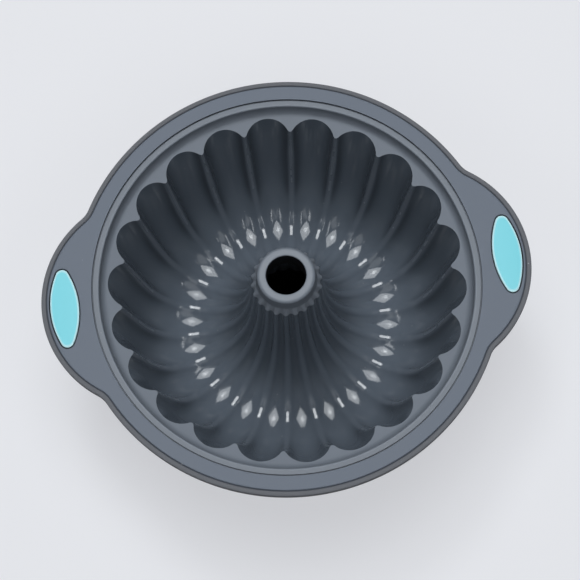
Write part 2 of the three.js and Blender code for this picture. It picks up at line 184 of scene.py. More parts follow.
def flute_depth(radius):
    """Depth of a flute at a radius: a fixed share of the width that one flute has there."""
    return FLUTE_DEPTH_RATIO * TAU * radius / FLUTE_COUNT


def ledge_height(radius):
    """Height of the ledge: a cone that falls towards the axis."""
    return LEDGE_Z - LEDGE_SLOPE * (LEDGE_RADIUS - radius)


TIP_RADIUS = (LEDGE_RADIUS - SCALLOP_MARGIN) / (1.0 + flute_depth(1.0))
TIP_Z = ledge_height(TIP_RADIUS)


# Mesh making

def smooth_step(value, low, high):
    """Rises from 0 to 1 between low and high, level at both ends: 3x^2 - 2x^3."""
    x = np.clip((value - low) / (high - low), 0.0, 1.0)
    return x * x * (3.0 - 2.0 * x)


def ring_faces(rows, columns):
    """Quads of a grid whose rows and columns both close on themselves."""
    i, j = np.meshgrid(np.arange(rows), np.arange(columns), indexing="ij")
    below = (i + 1) % rows
    beside = (j + 1) % columns
    corners = [i * columns + j, below * columns + j, below * columns + beside, i * columns + beside]
    return np.stack(corners, axis=-1).reshape(-1, 4)


def stack_faces(rings, count):
    """Quads between closed rings laid one over the other, without the two ends."""
    i, j = np.meshgrid(np.arange(rings - 1), np.arange(count), indexing="ij")
    beside = (j + 1) % count
    corners = [i * count + j, i * count + beside, (i + 1) * count + beside, (i + 1) * count + j]
    return np.stack(corners, axis=-1).reshape(-1, 4)


def signed_volume(points, quads):
    """Volume inside the quads: a sixth of the triple product of each triangle's corners, summed."""
    a, b, c, d = (points[quads[:, k]] for k in range(4))
    return np.einsum("ij,ij->", a, np.cross(b, c) + np.cross(c, d)) / 6.0


def outward(points, quads):
    """The quads turned round if the closed surface is inside out."""
    return quads if signed_volume(points, quads) > 0 else quads[:, ::-1]


def add_object(name, points, faces, sharp_degrees=None):
    """A mesh object at the origin from points in millimetres, shaded smooth below an angle."""
    mesh = bpy.data.meshes.new(name)
    mesh.from_pydata(points * MM, [], faces)
    mesh.polygons.foreach_set("use_smooth", np.ones(len(mesh.polygons), dtype=bool))
    if sharp_degrees is not None:
        mesh.set_sharp_from_angle(angle=math.radians(sharp_degrees))
    mesh.update()
    item = bpy.data.objects.new(name, mesh)
    bpy.context.scene.collection.objects.link(item)
    return item


def add_mask(item, name, values):
    """A value from 0 to 1 at each vertex, which a material can read by name."""
    layer = item.data.attributes.new(name, "FLOAT", "POINT")
    layer.data.foreach_set("value", np.ascontiguousarray(values, dtype=np.float32).ravel())


def finish_piece(item, node, material):
    """Gives a piece its finish, puts it on the pan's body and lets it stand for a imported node."""
    item.data.materials.append(material)
    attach(item, "root")
    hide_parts(node)


def corner_arc(centre, radius, start, end, steps):
    """Points on an arc of a section, angles in degrees from outward towards up."""
    angle = np.radians(np.linspace(start, end, steps))
    return np.stack([centre[0] + radius * np.cos(angle), centre[1] + radius * np.sin(angle)], axis=1)


def line(start, end, steps):
    """Evenly spaced points from start to end."""
    return np.linspace(start, end, steps)


# Fluted shell

def bezier(corners, t):
    """Cubic curve: each corner weighted by its Bernstein term."""
    a = 1.0 - t
    weights = np.stack([a ** 3, 3 * a * a * t, 3 * a * t * t, t ** 3], axis=1)
    return weights @ np.asarray(corners, dtype=float)


def bezier_heading(corners, t):
    """Unit direction along a cubic curve: its corner steps weighted by the quadratic Bernstein terms."""
    a = 1.0 - t
    weights = np.stack([a * a, 2 * a * t, t * t], axis=1)
    heading = weights @ np.diff(np.asarray(corners, dtype=float), axis=0)
    return heading / np.linalg.norm(heading, axis=1, keepdims=True)


TUBE_CURVE = [
    (SHOULDER_RADIUS, SHOULDER_Z),
    (SHOULDER_RADIUS + TUBE_LEAN, SHOULDER_Z - WALL_FULLNESS * (SHOULDER_Z - FLOOR_Z)),
    (FLOOR_RADIUS - FLOOR_FULLNESS * (FLOOR_RADIUS - SHOULDER_RADIUS), FLOOR_Z),
    (FLOOR_RADIUS, FLOOR_Z),
]
WALL_CURVE = [
    (FLOOR_RADIUS, FLOOR_Z),
    (FLOOR_RADIUS + FLOOR_FULLNESS * (TIP_RADIUS - FLOOR_RADIUS), FLOOR_Z),
    (TIP_RADIUS - WALL_LEAN, TIP_Z - WALL_FULLNESS * (TIP_Z - FLOOR_Z)),
    (TIP_RADIUS, TIP_Z),
]


def ridge_line(t):
    """The ridge's points and the direction from them into the wall, from 0 at the tube to 2 at the ledge.

    The direction is the heading along the ridge, turned a quarter turn away from the cavity.
    """
    on_tube = t <= 1.0
    near = np.clip(t, 0.0, 1.0)
    far = np.clip(t - 1.0, 0.0, 1.0)
    point = np.where(on_tube[:, None], bezier(TUBE_CURVE, near), bezier(WALL_CURVE, far))
    heading = np.where(
        on_tube[:, None], bezier_heading(TUBE_CURVE, near), bezier_heading(WALL_CURVE, far)
    )
    return point, np.stack([heading[:, 1], -heading[:, 0]], axis=1)


def cavity_lines(t):
    """Ridge and flute lines inside the cavity, with the half width and the depth of the flute.

    The flute lies below the ridge by its depth. The ridge is lower near the floor, where the flutes
    flatten out, the flute is shallower on the tube, and its end rises to the ledge.
    """
    ridge, into_wall = ridge_line(t)
    full_depth = flute_depth(ridge[:, 0])
    flute = ridge + full_depth[:, None] * into_wall
    share = 1.0 - FLOOR_FLATTENING * np.exp(-((t - 1.0) / FLOOR_REACH) ** 2)
    ridge = flute - (share * full_depth)[:, None] * into_wall
    tip, tip_into_wall = ridge_line(np.array([2.0]))
    end = tip[0] + flute_depth(TIP_RADIUS) * tip_into_wall[0]
    flute[:, 1] += (ledge_height(end[0]) - end[1]) * smooth_step(t, LEDGE_LIFT_START, 2.0)
    filled = TUBE_FLATTENING * (1.0 - smooth_step(t, 0.3, 0.85))
    flute -= (filled * full_depth)[:, None] * into_wall
    half_width = math.pi * ridge[:, 0] / FLUTE_COUNT
    return ridge, flute, half_width, (share - filled) * full_depth, into_wall


def underside_lines(t):
    """Ridge and flute lines outside: the cavity's arches with the wall added to their radius."""
    _, _, half_width, depth, into_wall = cavity_lines(t)
    bare_ridge, _ = ridge_line(t)
    bare_flute = bare_ridge + flute_depth(bare_ridge[:, 0])[:, None] * into_wall
    outer_radius = (half_width ** 2 + depth ** 2) / (2 * depth) + WALL
    sagitta = outer_radius - np.sqrt(outer_radius ** 2 - half_width ** 2)
    outer_flute = bare_flute + WALL * into_wall
    return outer_flute - sagitta[:, None] * into_wall, outer_flute, half_width, sagitta


def flute_share(u, half_width, depth, rounding):
    """How far a point is from the ridge, 0, to the middle of the flute, 1.

    The flute is an arc and the ridge a smaller arc of the other bend. They meet in one tangent,
    which makes the two radii add up to the radius of a single arc of that width and depth.
    """
    half_width, depth = half_width[:, None], depth[:, None]
    single = (half_width ** 2 + depth ** 2) / (2 * depth)
    ridge_radius = np.minimum(np.reshape(rounding, (-1, 1)), 0.5 * single)
    flute_radius = single - ridge_radius
    x = np.abs(u)[None, :] * half_width
    hollow = flute_radius - np.sqrt(np.maximum(flute_radius ** 2 - x ** 2, 0.0))
    crest = depth - ridge_radius + np.sqrt(np.maximum(ridge_radius ** 2 - (half_width - x) ** 2, 0.0))
    height = np.where(x < half_width * flute_radius / single, hollow, crest)
    return 1.0 - height / depth


def facet_sink(along, beside, flute_radius):
    """How far the kite-shaped flat in the floor of a flute lies below the plain curve of the floor.

    The kite's measure is the distance along over its half length plus the distance beside over its
    half width, 1 at the edge. Inside, the bowl of the two bends is flattened by a share and turned a
    little towards the axis. Outside, the sink at the nearest edge fades as the square of the rest.
    """
    measure = np.abs(along) / FACET_HALF_LENGTH + np.abs(beside) / FACET_HALF_WIDTH
    drawn_in = 1.0 / np.maximum(measure, 1.0)
    bowl = along ** 2 / (2 * FLOOR_BEND) + beside ** 2 / (2 * flute_radius)
    at_edge = FACET_SINK + FACET_FLATNESS * bowl * drawn_in ** 2 - FACET_TURN * along * drawn_in
    return at_edge * (1.0 - np.clip((measure - 1.0) / FACET_FADE, 0.0, 1.0)) ** 2


def bar_sink(along, from_ridge):
    """How far the short flat on a ridge lies below the ridge's plain curve near the floor.

    Along the ridge the bend is flattened by a share, and past the ends the sink fades as the square of
    the rest. Across the ridge it is the same over the crest and fades on the flanks.
    """
    inside = np.clip(along, -BAR_HALF_LENGTH, BAR_HALF_LENGTH)
    past = np.clip(np.abs(along - inside) / BAR_FADE, 0.0, 1.0)
    on_crest = 1.0 - smooth_step(from_ridge, BAR_FLANK_START, BAR_FLANK_END)
    return (BAR_SINK + BAR_FLATNESS * inside ** 2 / (2 * FLOOR_BEND)) * (1.0 - past) ** 2 * on_crest


STEPS_PER_FLUTE = 26
step = np.arange(FLUTE_COUNT * STEPS_PER_FLUTE)
even = 2.0 * (step % STEPS_PER_FLUTE) / STEPS_PER_FLUTE - 1.0
across = 0.6 * even + 0.4 * np.sin(even * math.pi / 2)
bearing = (step // STEPS_PER_FLUTE + (across + 1.0) / 2.0) * TAU / FLUTE_COUNT


def round_rows(section):
    """Rows that are the same all the way round: one radius and height for every bearing."""
    radius = np.repeat(section[:, :1], len(bearing), axis=1)
    height = np.repeat(section[:, 1:], len(bearing), axis=1)
    return np.stack([radius, height], axis=-1)


def fluted_rows(ridge, flute, share):
    """Rows that run from the ridge line to the flute line by a share at each bearing."""
    return ridge[:, None, :] + (flute - ridge)[:, None, :] * share[:, :, None]


def shell_rows():
    """The shell's section at every bearing, from the bore over the cavity and back along the underside.

    Returns the rows of radius and height, and for each point how glossy it is, how far it belongs to
    the polished flat of a ridge, and how far it lies where light hardly reaches.
    """
    parts = []

    def add(rows, gloss, polish=0.0, shade=0.0):
        masks = [np.broadcast_to(value, rows.shape[:2]) for value in (gloss, polish, shade)]
        parts.append((rows, *masks))

    collar_z = COLLAR_TOP_Z - COLLAR_ROUND
    edge_z = COLLAR_TOP_Z - BORE_EDGE
    foot = np.array([COLLAR_FOOT_RADIUS, RIM_Z + COLLAR_FOOT_RISE])
    bore = line((BORE_RADIUS, SHOULDER_Z - WALL + 0.6), (BORE_RADIUS, edge_z - 0.3), 6)
    add(round_rows(bore), COLLAR_GLOSS, shade=1.0)
    add(round_rows(np.concatenate([
        corner_arc((BORE_RADIUS + BORE_EDGE, edge_z), BORE_EDGE, 180, 90, 5),
        corner_arc((COLLAR_RADIUS - COLLAR_ROUND, collar_z), COLLAR_ROUND, 90, 0, 7),
        line((COLLAR_RADIUS + 0.05, collar_z - 0.6), foot + (-0.05, 0.8), 3),
        foot[None],
    ])), COLLAR_GLOSS)

    start = np.array([0.0])
    ridge, flute, half_width, depth, _ = cavity_lines(start)
    edge = flute_share(across, half_width, depth, RIDGE_ROUND)
    scalloped = fluted_rows(ridge, flute, edge)
    reach = np.array([0.15, 0.5, 0.9])[:, None, None]
    # The skirt takes the pale matt tone: partly its matt finish, partly painted light over the collar's
    # shadow.
    add(foot + (scalloped - foot) * reach, 0.0)

    t = np.concatenate([
        [0.0, 0.006, 0.02],
        np.linspace(0.05, 0.83, 14),
        np.linspace(0.85, 1.15, 39),
        np.linspace(1.18, 1.94, 16),
        [1.97, 1.99, 2.0],
    ])
    ridge, flute, half_width, depth, into_wall = cavity_lines(t)
    at_floor = np.exp(-((t - 1.0) / FLOOR_ROUND_REACH) ** 2)
    at_tip = smooth_step(t, TIP_START, 2.0)
    rounding = RIDGE_ROUND + (FLOOR_RIDGE_ROUND - RIDGE_ROUND) * at_floor
    rounding += (TIP_ROUND - RIDGE_ROUND) * at_tip
    share = flute_share(across, half_width, depth, rounding)
    rows = fluted_rows(ridge, flute, share)
    along = (ridge[:, 0] - FLOOR_RADIUS)[:, None]
    beside = np.abs(across)[None, :] * half_width[:, None]
    floor_half_width = math.pi * FLOOR_RADIUS / FLUTE_COUNT
    floor_depth = (1.0 - FLOOR_FLATTENING) * flute_depth(FLOOR_RADIUS)
    flute_radius = (floor_half_width ** 2 + floor_depth ** 2) / (2 * floor_depth) - FLOOR_RIDGE_ROUND
    from_ridge = half_width[:, None] - beside
    along_bar = along - BAR_OFFSET
    sink = facet_sink(along - FACET_OFFSET, beside, flute_radius) + bar_sink(along_bar, from_ridge)
    rows = rows + sink[..., None] * into_wall[:, None, :]
    end_fade = 1.0 - smooth_step(np.abs(along_bar), BAR_HALF_LENGTH - 0.9, BAR_HALF_LENGTH + 0.2)
    side_fade = 1.0 - smooth_step(from_ridge, BAR_HALF_WIDTH, BAR_HALF_WIDTH + BAR_SIDE_FADE)
    on_tube = 1.0 - smooth_step(t, 0.6, 0.95)[:, None]
    up_wall = smooth_step(t, 1.2, 1.5)[:, None]
    # Crests up the wall move towards the pale matt tone, which is painted light on the ridges as well as a
    # real rise in roughness. The creases beside them and the tube's flutes get painted shade.
    crest = 1.0 - smooth_step(share, 0.0, 0.12)
    crease = smooth_step(share, 0.02, 0.2) * (1.0 - smooth_step(share, 0.25, 0.9))
    shade = TUBE_SHADE * share * on_tube + CREASE_SHADE * crease * up_wall
    add(rows, 1.0 - CREST_PAINTED_LIGHT_AND_MATT * crest * up_wall, end_fade * side_fade, shade)

    scalloped = rows[-1:]
    ledge = np.array([LEDGE_RADIUS, LEDGE_Z])
    reach = np.array([0.04, 0.12, 0.35, 0.65, 0.9])[:, None, None]
    # The ledge takes the pale matt tone: partly its frosted finish, partly a painted sheen.
    add(scalloped + (ledge - scalloped) * reach, 0.0)

    rise = LIP_Z - LIP_ROUND - LEDGE_Z
    first = math.atan(LEDGE_SLOPE * COVE_WIDTH / rise)
    bend = np.linspace(first, COVE_END, 11)[:, None]
    cove = np.concatenate([
        LEDGE_RADIUS + COVE_WIDTH * (np.sin(bend) - math.sin(first)) / (1.0 - math.sin(first)),
        LIP_Z - LIP_ROUND - rise * np.cos(bend) / math.cos(first),
    ], axis=1)
    lip_bottom = LIP_Z - LIP_THICKNESS
    add(round_rows(np.concatenate([
        cove,
        corner_arc((MOUTH_RADIUS + LIP_ROUND, LIP_Z - LIP_ROUND), LIP_ROUND, 180, 90, 6),
    ])), COVE_GLOSS)
    lip_band = line((MOUTH_RADIUS + LIP_ROUND + 0.4, LIP_Z), (SEAM_RADIUS - SEAM_ROUND - 0.3, LIP_Z), 2)
    lip_edge = corner_arc((SEAM_RADIUS - SEAM_ROUND, LIP_Z - SEAM_ROUND), SEAM_ROUND, 90, 0, 4)
    into_seam = np.array([LIP_SHADE, 0.5, 0.95, 1.0])[:, None]
    add(round_rows(lip_band), PLAIN_GLOSS, shade=LIP_SHADE)
    add(round_rows(lip_edge), PLAIN_GLOSS, shade=into_seam)

    outer_bend = np.linspace(COVE_END, 0.0, 6)[:, None]
    outer_cove = np.concatenate([
        LEDGE_RADIUS + WALL + COVE_WIDTH * np.sin(outer_bend),
        lip_bottom - (lip_bottom - LEDGE_Z + WALL / 2) * np.cos(outer_bend),
    ], axis=1)
    add(round_rows(np.concatenate([
        line((SEAM_RADIUS, LIP_Z - SEAM_ROUND - 0.1), (SEAM_RADIUS, TONGUE_TOP_Z), 2),
        line((TONGUE_RADIUS, TONGUE_TOP_Z), (TONGUE_RADIUS, TONGUE_BOTTOM_Z), 2),
        line((SEAM_RADIUS, TONGUE_BOTTOM_Z), (SEAM_RADIUS, lip_bottom), 2),
        outer_cove,
    ])), PLAIN_GLOSS)

    t = np.concatenate([
        np.linspace(1.96, 1.2, 11), np.linspace(1.14, 0.86, 9), np.linspace(0.8, 0.03, 11)
    ])
    ridge, flute, half_width, depth = underside_lines(t)
    rows = fluted_rows(ridge, flute, flute_share(across, half_width, depth, GROOVE_ROUND))
    thickness = WALL * math.hypot(1.0, LEDGE_SLOPE)
    under_ledge = rows[:1].copy()
    under_ledge[..., 1] = ledge_height(under_ledge[..., 0]) - thickness
    rows = np.concatenate([under_ledge, rows])
    rows[..., 1] = np.maximum(rows[..., 1], 0.0)
    add(rows, PLAIN_GLOSS)
    add(round_rows(np.array([[BORE_RADIUS + BORE_EDGE, SHOULDER_Z - WALL]])), PLAIN_GLOSS)

    return [np.concatenate(kind) for kind in zip(*parts)]


def shell_piece(material):
    """The shell: its section turned once round the axis, each row at every bearing."""
    rows, gloss, polish, shade = shell_rows()
    radius, height = rows[..., 0], rows[..., 1]
    points = np.stack([radius * np.cos(bearing), radius * np.sin(bearing), height], axis=-1)
    points = points.reshape(-1, 3)
    quads = outward(points, ring_faces(*radius.shape))
    item = add_object("shell_moulding", points, quads, SHELL_SHARP)
    add_mask(item, "gloss", gloss)
    add_mask(item, "polish", polish)
    add_mask(item, "shade", shade)
    finish_piece(item, "fluted_shell", material)


# Rim

def arc_stations(centre, radius, start, end, steps, hollow=False):
    """Points along an arc with the direction out of the rim at each. A hollow arc bends the other way."""
    angle = start + (end - start) * np.arange(steps) / steps
    ray = np.stack([np.cos(angle), np.sin(angle)], axis=1)
    return np.asarray(centre) + radius * ray, -ray if hollow else ray


def outline_stations():
    """The rim's outline: the right ear's arc, hollow fillet, rim arc, fillet, then all turned half round.

    The fillet's circle touches the rim's circle and the ear's, so its centre is as far from each of
    their centres as the two radii together.
    """
    to_fillet = RIM_RADIUS + EAR_FILLET_RADIUS
    ear_to_fillet = EAR_ARC_RADIUS + EAR_FILLET_RADIUS
    fillet_x = (to_fillet ** 2 - ear_to_fillet ** 2 + EAR_ARC_X ** 2) / (2 * EAR_ARC_X)
    fillet_y = math.sqrt(to_fillet ** 2 - fillet_x ** 2)
    rim_end = math.atan2(fillet_y, fillet_x)
    ear_end = math.atan2(fillet_y, fillet_x - EAR_ARC_X)
    arcs = [
        arc_stations((EAR_ARC_X, 0), EAR_ARC_RADIUS, -ear_end, ear_end, 110),
        arc_stations(
            (fillet_x, fillet_y), EAR_FILLET_RADIUS, ear_end + math.pi, rim_end + math.pi, 18, True
        ),
        arc_stations((0, 0), RIM_RADIUS, rim_end, math.pi - rim_end, 160),
        arc_stations((-fillet_x, fillet_y), EAR_FILLET_RADIUS, -rim_end, -ear_end, 18, True),
    ]
    point = np.concatenate([arc[0] for arc in arcs])
    out = np.concatenate([arc[1] for arc in arcs])
    return np.concatenate([point, -point]), np.concatenate([out, -out])


outline, outline_out = outline_stations()
outline_ray = outline / np.linalg.norm(outline, axis=1, keepdims=True)


def inside_outline(section):
    """Rows at an inset from the outline: each point moved back along its direction out of the rim."""
    flat = outline[None] - section[:, 0, None, None] * outline_out[None]
    height = np.repeat(section[:, 1:], len(outline), axis=1)
    return np.concatenate([flat, height[..., None]], axis=-1)


def on_circle(section):
    """Rows on circles round the axis, at the bearings of the outline's points."""
    flat = section[:, 0, None, None] * outline_ray[None]
    height = np.repeat(section[:, 1:], len(outline), axis=1)
    return np.concatenate([flat, height[..., None]], axis=-1)


def between(inner, outer, shares):
    """Rows part of the way from one row to another."""
    shares = np.asarray(shares)[:, None, None]
    return inner[None] + (outer - inner)[None] * shares


def rim_rows():
    """The rim's closed section: flat top, groove, rounded border, flat underside and tongue slot."""
    inner_radius = SEAM_RADIUS + CLEARANCE
    slot_radius = TONGUE_RADIUS + CLEARANCE
    inner_edge = corner_arc((inner_radius + SEAM_ROUND, RIM_Z - SEAM_ROUND), SEAM_ROUND, 180, 90, 5)
    inner_top = on_circle(inner_edge)
    groove_x = np.linspace(1.0, -1.0, 11)
    groove = np.stack([
        GROOVE_INSET + GROOVE_HALF_WIDTH * groove_x,
        RIM_Z - GROOVE_DEPTH * (0.5 + 0.5 * np.cos(math.pi * groove_x)),
    ], axis=1)
    groove_rows = inside_outline(groove)
    angle = np.radians(np.linspace(0, 90, 8))
    crown = np.stack([
        BORDER_ROUND * (1 - np.sin(angle)), RIM_Z - BORDER_ROUND * (1 - np.cos(angle))
    ], axis=1)
    hem = np.stack([
        BORDER_ROUND * (1 - np.cos(angle)), BORDER_BOTTOM_Z + BORDER_ROUND * (1 - np.sin(angle))
    ], axis=1)
    inner_hem = np.stack([
        BORDER_WIDTH - STEP_ROUND * (1 - np.sin(angle)), BORDER_BOTTOM_Z + STEP_ROUND * (1 - np.cos(angle))
    ], axis=1)
    step_top = np.stack([
        BORDER_WIDTH + STEP_TOP_ROUND * (1 - np.cos(angle)),
        FLANGE_BOTTOM_Z - STEP_TOP_ROUND * (1 - np.sin(angle)),
    ], axis=1)
    border_rows = inside_outline(np.concatenate([crown, hem, inner_hem, step_top]))
    inner_bottom = on_circle(np.array([[inner_radius, FLANGE_BOTTOM_Z]]))
    slot = on_circle(np.array([
        [inner_radius, TONGUE_BOTTOM_Z - CLEARANCE],
        [slot_radius, TONGUE_BOTTOM_Z - CLEARANCE],
        [slot_radius, TONGUE_TOP_Z + CLEARANCE],
        [inner_radius, TONGUE_TOP_Z + CLEARANCE],
    ]))
    return np.concatenate([
        inner_top,
        between(inner_top[-1], groove_rows[0], [0.05, 0.3, 0.6, 0.95]),
        groove_rows,
        border_rows,
        between(border_rows[-1], inner_bottom[0], [0.05, 0.5, 0.95]),
        inner_bottom,
        slot,
    ])


def lens_outline(grown):
    """The grip's outline, grown by an amount: two long arcs along Y that run smoothly into round tips.

    The long arcs' radius makes each pass its tip's circle at a tangent.
    """
    half_width = GRIP_WIDTH / 2
    tip_y = GRIP_LENGTH / 2 - GRIP_TIP_RADIUS
    side_radius = half_width ** 2 + tip_y ** 2 - GRIP_TIP_RADIUS ** 2
    side_radius /= 2 * (half_width - GRIP_TIP_RADIUS)
    side_x = side_radius - half_width
    turn = math.atan2(tip_y, side_x)
    side, _ = arc_stations((-side_x, 0), side_radius + grown, -turn, turn, 60)
    tip, _ = arc_stations((0, tip_y), GRIP_TIP_RADIUS + grown, turn, math.pi - turn, 28)
    half = np.concatenate([side, tip])
    return np.concatenate([half, -half])


def lens_ring(grown, height, size=1.0):
    """A level ring of the lens outline, drawn towards its middle by a size below 1."""
    flat = size * lens_outline(grown)
    return np.concatenate([flat, np.full((len(flat), 1), height)], axis=1)


def stacked_solid(rings):
    """Points and faces of rings laid one over the other, with both ends closed by one face."""
    count = len(rings[0])
    points = np.concatenate(rings)
    quads = stack_faces(len(rings), count)
    last = (len(rings) - 1) * count
    faces = quads.tolist()
    faces.append(list(range(count))[::-1])
    faces.append(list(range(last, last + count)))
    return points, faces


def opening_cutter(side):
    """The space cut out of an ear: lens outline with rounded mouths and a lip half way through."""
    flare = np.radians(np.linspace(0, 90, 6))
    mouth = OPENING_ROUND
    lip_top = GRIP_TOP_Z - GRIP_WAIST_DEPTH - CLEARANCE
    lip_bottom = GRIP_BOTTOM_Z + GRIP_WAIST_DEPTH + CLEARANCE
    rings = [lens_ring(CLEARANCE + mouth, FLANGE_BOTTOM_Z - 1.0)]
    rings += [
        lens_ring(CLEARANCE + mouth * (1 - math.sin(a)), FLANGE_BOTTOM_Z + mouth * (1 - math.cos(a)))
        for a in flare
    ]
    rings += [
        lens_ring(CLEARANCE, lip_bottom),
        lens_ring(CLEARANCE - GRIP_WAIST_INSET, lip_bottom),
        lens_ring(CLEARANCE - GRIP_WAIST_INSET, lip_top),
        lens_ring(CLEARANCE, lip_top),
    ]
    rings += [
        lens_ring(CLEARANCE + mouth * (1 - math.sin(a)), RIM_Z - mouth * (1 - math.cos(a)))
        for a in flare[::-1]
    ]
    rings += [lens_ring(CLEARANCE + mouth, RIM_Z + 1.0)]
    points, faces = stacked_solid(rings)
    points[:, 0] += side * GRIP_CENTRE_X
    return points, faces


def pin_cutter(index):
    """A short upright cylinder under the border, from below it up to the hoop."""
    place = round((index + 0.5) * len(outline) / PIN_HOLE_COUNT)
    middle = outline[place] - HOOP_INSET * outline_out[place]
    angle = np.arange(24) * TAU / 24
    circle = middle + PIN_HOLE_RADIUS * np.stack([np.cos(angle), np.sin(angle)], axis=1)
    low = np.concatenate([circle, np.full((24, 1), BORDER_BOTTOM_Z - 1.0)], axis=1)
    high = np.concatenate([circle, np.full((24, 1), HOOP_Z)], axis=1)
    return stacked_solid([low, high])


def wire_surface(radius):
    """A round bar's surface: a circle carried along the outline at the hoop's inset and height."""
    angle = np.arange(16) * TAU / 16
    section = np.stack([HOOP_INSET + radius * np.cos(angle), HOOP_Z + radius * np.sin(angle)], axis=1)
    rows = inside_outline(section)
    points = rows.reshape(-1, 3)
    return points, outward(points, ring_faces(*rows.shape[:2]))


def cut_away(item, solids):
    """Cuts closed solids out of a piece and keeps the result as its mesh."""
    points = np.concatenate([solid[0] for solid in solids])
    starts = np.cumsum([0] + [len(solid[0]) for solid in solids])
    faces = []
    for (_, own_faces), first in zip(solids, starts):
        faces += [[corner + first for corner in face] for face in own_faces]
    tool = add_object("rim_cutter", points, faces)
    change = item.modifiers.new("openings", "BOOLEAN")
    change.operation = "DIFFERENCE"
    change.solver = "EXACT"
    change.object = tool
    scene_state = bpy.context.evaluated_depsgraph_get()
    cut = bpy.data.meshes.new_from_object(item.evaluated_get(scene_state))
    item.modifiers.clear()
    old = item.data
    item.data = cut
    cut.name = old.name + "_cut"
    bpy.data.meshes.remove(old)
    bpy.data.objects.remove(tool)


def nearest(points, targets):
    """Distance from each point to the nearest of the targets: a^2 + b^2 - 2ab, at its least, rooted."""
    square = (points ** 2).sum(axis=1)[:, None] + (targets ** 2).sum(axis=1)[None] - 2 * points @ targets.T
    return np.sqrt(np.maximum(square.min(axis=1), 0.0))


def rim_piece(material):
    """The rim: its section carried along the outline, less ear openings, hoop channel and pin holes.

    Its shade marks the gaps round the grips and at the seam, the groove and the outer wall, each by its
    distance in plan, and comes in below the flat top.
    """
    rows = rim_rows()
    points = rows.reshape(-1, 3)
    quads = outward(points, ring_faces(*rows.shape[:2]))
    item = add_object("rim_moulding", points, quads)
    cut_away(item, [opening_cutter(-1), opening_cutter(1), wire_surface(HOOP_WIRE / 2 + CLEARANCE)])
    cut_away(item, [pin_cutter(i) for i in range(PIN_HOLE_COUNT)])
    mesh = item.data
    mesh.polygons.foreach_set("use_smooth", np.ones(len(mesh.polygons), dtype=bool))
    mesh.set_sharp_from_angle(angle=math.radians(RIM_SHARP))
    place = np.empty(3 * len(mesh.vertices))
    mesh.vertices.foreach_get("co", place)
    place = place.reshape(-1, 3) / MM
    inset = nearest(place[:, :2], outline)
    below = RIM_Z - place[:, 2]
    lens = np.concatenate([lens_outline(CLEARANCE) + (side * GRIP_CENTRE_X, 0.0) for side in (-1, 1)])
    by_grip = nearest(place[:, :2], lens) < OPENING_ROUND
    by_seam = np.abs(np.linalg.norm(place[:, :2], axis=1) - SEAM_RADIUS - CLEARANCE) < SEAM_ROUND
    narrow = GAP_SHADE * np.maximum(by_grip, by_seam) * smooth_step(below, 0.02, 0.25)
    in_groove = np.abs(inset - GROOVE_INSET) < 0.4
    on_wall = inset < 0.2
    sheltered = np.maximum(GROOVE_SHADE * in_groove, BORDER_SHADE * on_wall) * smooth_step(below, 0.1, 0.7)
    add_mask(item, "border", 1.0 - smooth_step(inset, GROOVE_INSET - 0.6, GROOVE_INSET + 0.2))
    add_mask(item, "shade", np.maximum(narrow, sheltered))
    finish_piece(item, "rim_flange", material)


def hoop_piece(material):
    """The hoop of round wire in the rim's channel."""
    item = add_object("hoop_wire", *wire_surface(HOOP_WIRE / 2))
    finish_piece(item, "rim_hoop", material)


def grip_piece(name, node, side, material):
    """A grip: two crowned lens faces with rounded edges, joined by a waist."""
    turn = np.radians(np.linspace(0, 90, 7))
    top_edge = GRIP_TOP_Z - GRIP_CROWN
    bottom_edge = GRIP_BOTTOM_Z + GRIP_CROWN
    sizes = np.array([0.08, 0.25, 0.45, 0.62, 0.75, 0.82, 0.88, 0.94])
    crown = GRIP_CROWN * (1 - sizes ** 2)
    waist_top = GRIP_TOP_Z - GRIP_WAIST_DEPTH
    waist_bottom = GRIP_BOTTOM_Z + GRIP_WAIST_DEPTH
    rings = [lens_ring(-GRIP_EDGE, bottom_edge - c, s) for s, c in zip(sizes, crown)]
    rings += [
        lens_ring(-GRIP_EDGE * (1 - math.sin(a)), bottom_edge + GRIP_EDGE * (1 - math.cos(a)))
        for a in turn
    ]
    rings += [
        lens_ring(0.0, waist_bottom),
        lens_ring(-GRIP_WAIST_INSET, waist_bottom),
        lens_ring(-GRIP_WAIST_INSET, waist_top),
        lens_ring(0.0, waist_top),
    ]
    rings += [
        lens_ring(-GRIP_EDGE * (1 - math.cos(a)), top_edge - GRIP_EDGE * (1 - math.sin(a)))
        for a in turn
    ]
    rings += [lens_ring(-GRIP_EDGE, top_edge + c, s) for s, c in zip(sizes[::-1], crown[::-1])]
    points, faces = stacked_solid(rings)
    in_edge = nearest(points[:, :2], lens_outline(0.0))
    points[:, 0] += side * GRIP_CENTRE_X
    item = add_object(name, points, faces, GRIP_SHARP)
    # The edge mask carries a painted highlight: a paler teal along the rim of each face.
    add_mask(item, "edge", 1.0 - smooth_step(in_edge, 0.3, 1.4))
    finish_piece(item, node, material)


# Finishes

DEEP_SHADE_TONE = (0.012, 0.013, 0.016)
FLECK_TONE = (0.62, 0.64, 0.66)
FLANGE_TONE = (0.155, 0.178, 0.219)
BORDER_TONE = (0.150, 0.154, 0.168)
TEAL = (0.222, 0.72, 0.81)
# Paler teal for the painted highlight along the grips' edges.
TEAL_EDGE_HIGHLIGHT = (0.62, 0.90, 0.94)
# Pale matt tone of the shell's dull parts: partly the frosted finish, partly painted light on the ledge
# and skirt.
LEDGE_TONE = (0.205, 0.229, 0.268)
FLUTE_TONE = (0.110, 0.131, 0.160)
GRAIN_HEIGHT = 0.0002


def node(tree, kind, **settings):
    """A node of a kind with its settings; a name that is an input socket sets that socket."""
    made = tree.nodes.new(kind)
    for key, value in settings.items():
        if key in made.inputs.keys():
            made.inputs[key].default_value = value
        else:
            setattr(made, key, value)
    return made


